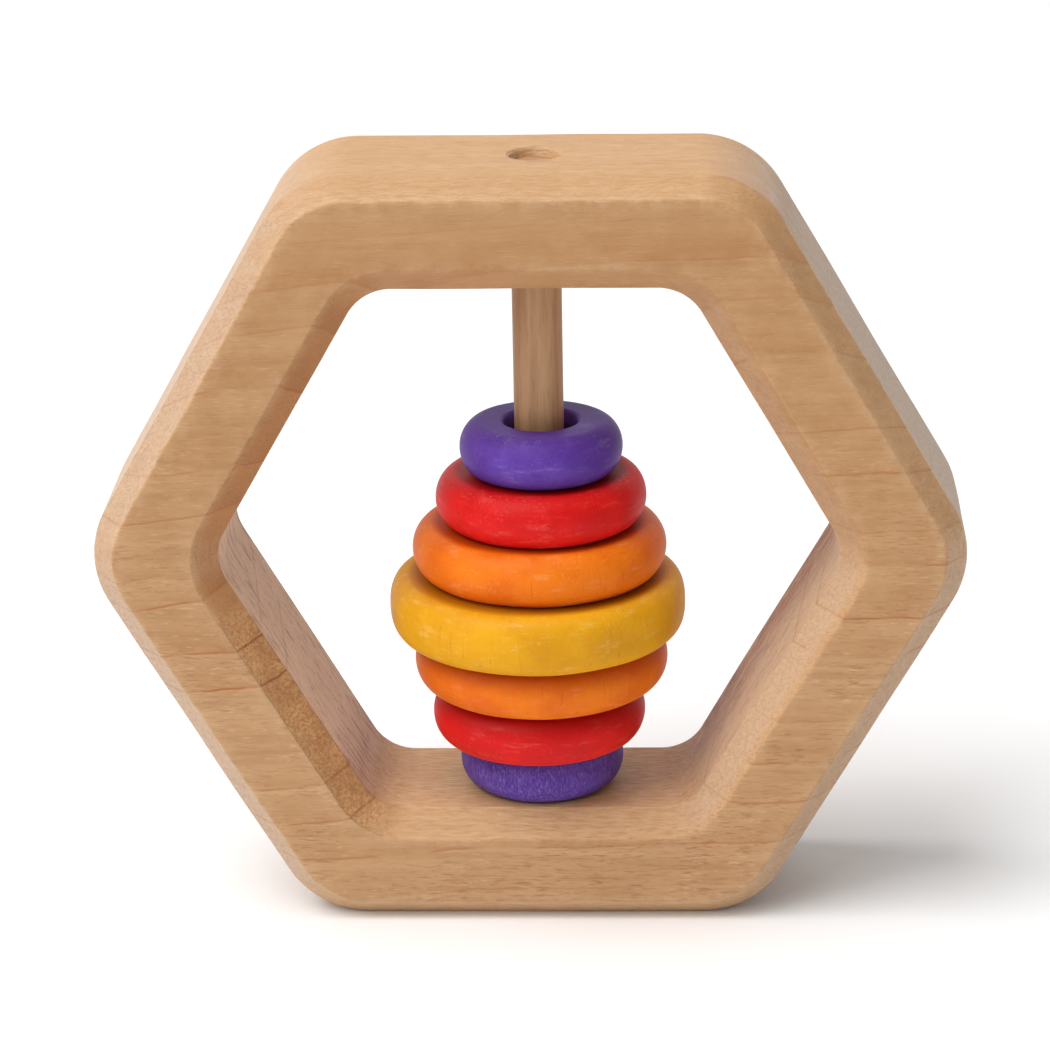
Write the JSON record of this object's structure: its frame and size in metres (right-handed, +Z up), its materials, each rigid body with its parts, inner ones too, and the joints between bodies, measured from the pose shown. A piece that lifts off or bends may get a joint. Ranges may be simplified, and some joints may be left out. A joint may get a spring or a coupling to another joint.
{
  "type": "baby rattle",
  "caption": "Hexagonal wooden frame rattle with a dowel across its opening and a stack of loose coloured wooden rings that slide along the dowel.",
  "frame": {"origin": "middle of the underside of the bottom bar", "axes": "+X to the right across the opening, -Y out of the front face, +Z up along the dowel"},
  "size_m": [0.1038, 0.036, 0.093],
  "materials": {
    "frame_wood": "sanded and oiled, satin",
    "dowel_wood": "sanded and oiled, satin",
    "purple_wood": "stained purple, satin",
    "red_wood": "stained red, satin",
    "orange_wood": "stained orange, satin",
    "yellow_wood": "stained yellow, satin"
  },
  "bodies": {
    "frame": {"hexagon_frame": "frame_wood", "dowel": "dowel_wood"},
    "ring_1": {"bottom_purple_ring": "purple_wood"},
    "ring_2": {"lower_red_ring": "red_wood"},
    "ring_3": {"lower_orange_ring": "orange_wood"},
    "ring_4": {"middle_yellow_ring": "yellow_wood"},
    "ring_5": {"upper_orange_ring": "orange_wood"},
    "ring_6": {"upper_red_ring": "red_wood"},
    "ring_7": {"top_purple_ring": "purple_wood"}
  },
  "joints": [
    {"name": "ring_1_slide", "type": "slide", "parent": "frame", "child": "ring_1", "axis": [0, 0, 1], "range_m": [0, 0.00269]},
    {"name": "ring_2_slide", "type": "slide", "parent": "ring_1", "child": "ring_2", "axis": [0, 0, 1], "range_m": [0, 0.00269]},
    {"name": "ring_3_slide", "type": "slide", "parent": "ring_2", "child": "ring_3", "axis": [0, 0, 1], "range_m": [0, 0.00269]},
    {"name": "ring_4_slide", "type": "slide", "parent": "ring_3", "child": "ring_4", "axis": [0, 0, 1], "range_m": [0, 0.00269]},
    {"name": "ring_5_slide", "type": "slide", "parent": "ring_4", "child": "ring_5", "axis": [0, 0, 1], "range_m": [0, 0.00269]},
    {"name": "ring_6_slide", "type": "slide", "parent": "ring_5", "child": "ring_6", "axis": [0, 0, 1], "range_m": [0, 0.00269]},
    {"name": "ring_7_slide", "type": "slide", "parent": "ring_6", "child": "ring_7", "axis": [0, 0, 1], "range_m": [0, 0.00269]}
  ]
}
